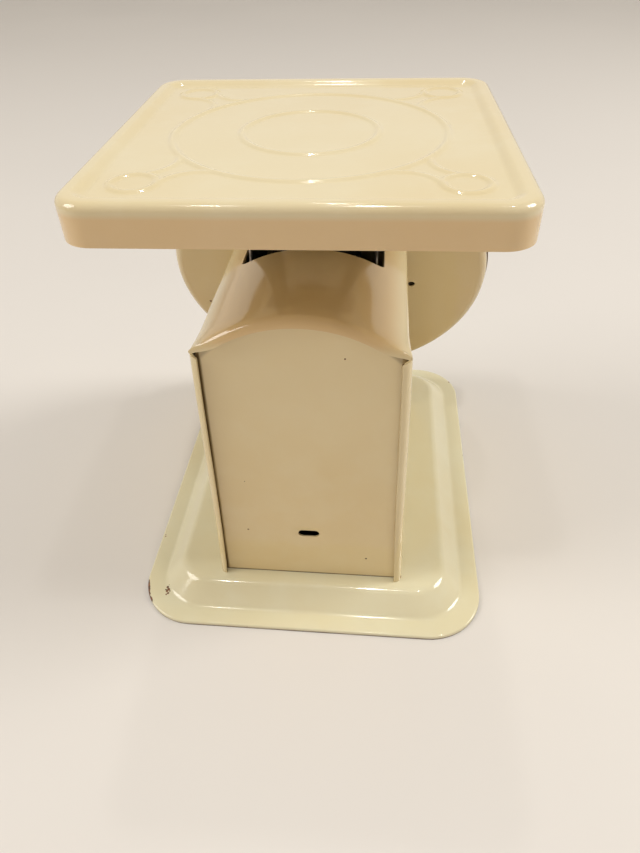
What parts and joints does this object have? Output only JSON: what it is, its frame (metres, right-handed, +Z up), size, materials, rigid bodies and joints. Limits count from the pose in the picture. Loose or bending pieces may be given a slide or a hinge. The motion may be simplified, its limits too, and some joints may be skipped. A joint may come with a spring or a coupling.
{
  "type": "household spring dial scale",
  "caption": "Pressed-steel household spring scale: square tray on a narrow arched column, round dial leaning back, stepped round-cornered base.",
  "frame": {"origin": "centre of the base's outline, on the surface it stands on", "axes": "+Z up; the dial faces -Y and the plain rear panel faces +Y; +X is to the right of a person reading the dial"},
  "size_m": [0.1844, 0.2256, 0.214],
  "materials": {
    "cream_enamel": "gloss enamel",
    "black_enamel": "satin black enamel",
    "zinc_steel": "zinc plated",
    "spring_steel": "oiled spring steel",
    "brass": "machined",
    "dial_white": "satin printed face",
    "pointer_black": "satin black",
    "glass": "clear",
    "rubber": "matte"
  },
  "bodies": {
    "root": {"base_pan": "cream_enamel", "housing_shell": "cream_enamel", "rear_panel": "cream_enamel", "front_plate": "cream_enamel", "housing_screws": "zinc_steel", "dial_case": "cream_enamel", "case_screws": "zinc_steel", "case_nuts": "zinc_steel", "dial_pillars": "zinc_steel", "dial_plate": "dial_white", "dial_glass": "glass", "bezel_ring": "cream_enamel", "arbor_bush_front": "brass", "arbor_bush_rear": "brass", "arbor_bridge": "zinc_steel", "arbor_bridge_screws": "zinc_steel", "inner_frame": "black_enamel", "frame_screws": "zinc_steel", "spring_bridge": "black_enamel", "frame_pivot_pins": "zinc_steel", "frame_pin_clips": "zinc_steel", "stop_post": "zinc_steel", "stop_pad": "rubber", "nut_washer": "zinc_steel", "spring_left": "spring_steel", "spring_right": "spring_steel"},
    "tray_carriage": {"platform": "cream_enamel", "platform_spider": "black_enamel", "spider_rivets": "zinc_steel", "yoke": "black_enamel", "rack_arm": "black_enamel", "rack_arm_screws": "zinc_steel", "rack": "brass", "spring_plugs_lower": "zinc_steel"},
    "pointer_train": {"pointer_arbor": "zinc_steel", "drive_pinion": "brass", "pointer_hub": "brass", "pointer": "pointer_black"},
    "upper_link": {"upper_link": "black_enamel", "upper_link_pin": "zinc_steel", "upper_link_clips": "zinc_steel"},
    "lower_link": {"lower_link": "black_enamel", "lower_link_pin": "zinc_steel", "lower_link_clips": "zinc_steel"},
    "zero_nut": {"zero_adjust_nut": "zinc_steel"},
    "spring_hanger": {"spring_carrier": "black_enamel", "zero_adjust_screw": "zinc_steel", "spring_plugs_upper": "zinc_steel"}
  },
  "joints": [
    {"name": "tray_slide", "type": "slide", "parent": "root", "child": "tray_carriage", "axis": [0, 0, -1], "range_m": [0, 0.01248], "stiffness_N_per_m": 8560, "springref_m": -0.0007, "deforming": ["spring_left", "spring_right"]},
    {"name": "pointer_turn", "type": "hinge", "parent": "root", "child": "pointer_train", "pos_m": [0, -0.0575, 0.1053], "axis": [0, -0.9397, 0.342], "range_deg": [-336.5, 0.5]},
    {"name": "upper_link_swing", "type": "hinge", "parent": "root", "child": "upper_link", "pos_m": [0, 0.066, 0.132], "axis": [1, 0, 0], "range_deg": [-0.5, 14.84]},
    {"name": "lower_link_swing", "type": "hinge", "parent": "root", "child": "lower_link", "pos_m": [0, 0.066, 0.045], "axis": [1, 0, 0], "range_deg": [-0.5, 14.84]},
    {"name": "zero_nut_turn", "type": "hinge", "parent": "root", "child": "zero_nut", "pos_m": [0, 0.004, 0.172], "axis": [0, 0, 1], "range_deg": [-545, 545]},
    {"name": "spring_hanger_slide", "type": "slide", "parent": "root", "child": "spring_hanger", "axis": [0, 0, 1], "range_m": [-0.00105, 0.00105]}
  ],
  "couplings": [
    {"joint": "pointer_turn", "follows": "tray_slide", "rad_per_m": -469.85},
    {"joint": "upper_link_swing", "follows": "tray_slide", "rad_per_m": 20.052},
    {"joint": "lower_link_swing", "follows": "tray_slide", "rad_per_m": 20.052},
    {"joint": "zero_nut_turn", "follows": "spring_hanger_slide", "rad_per_m": -8976}
  ]
}
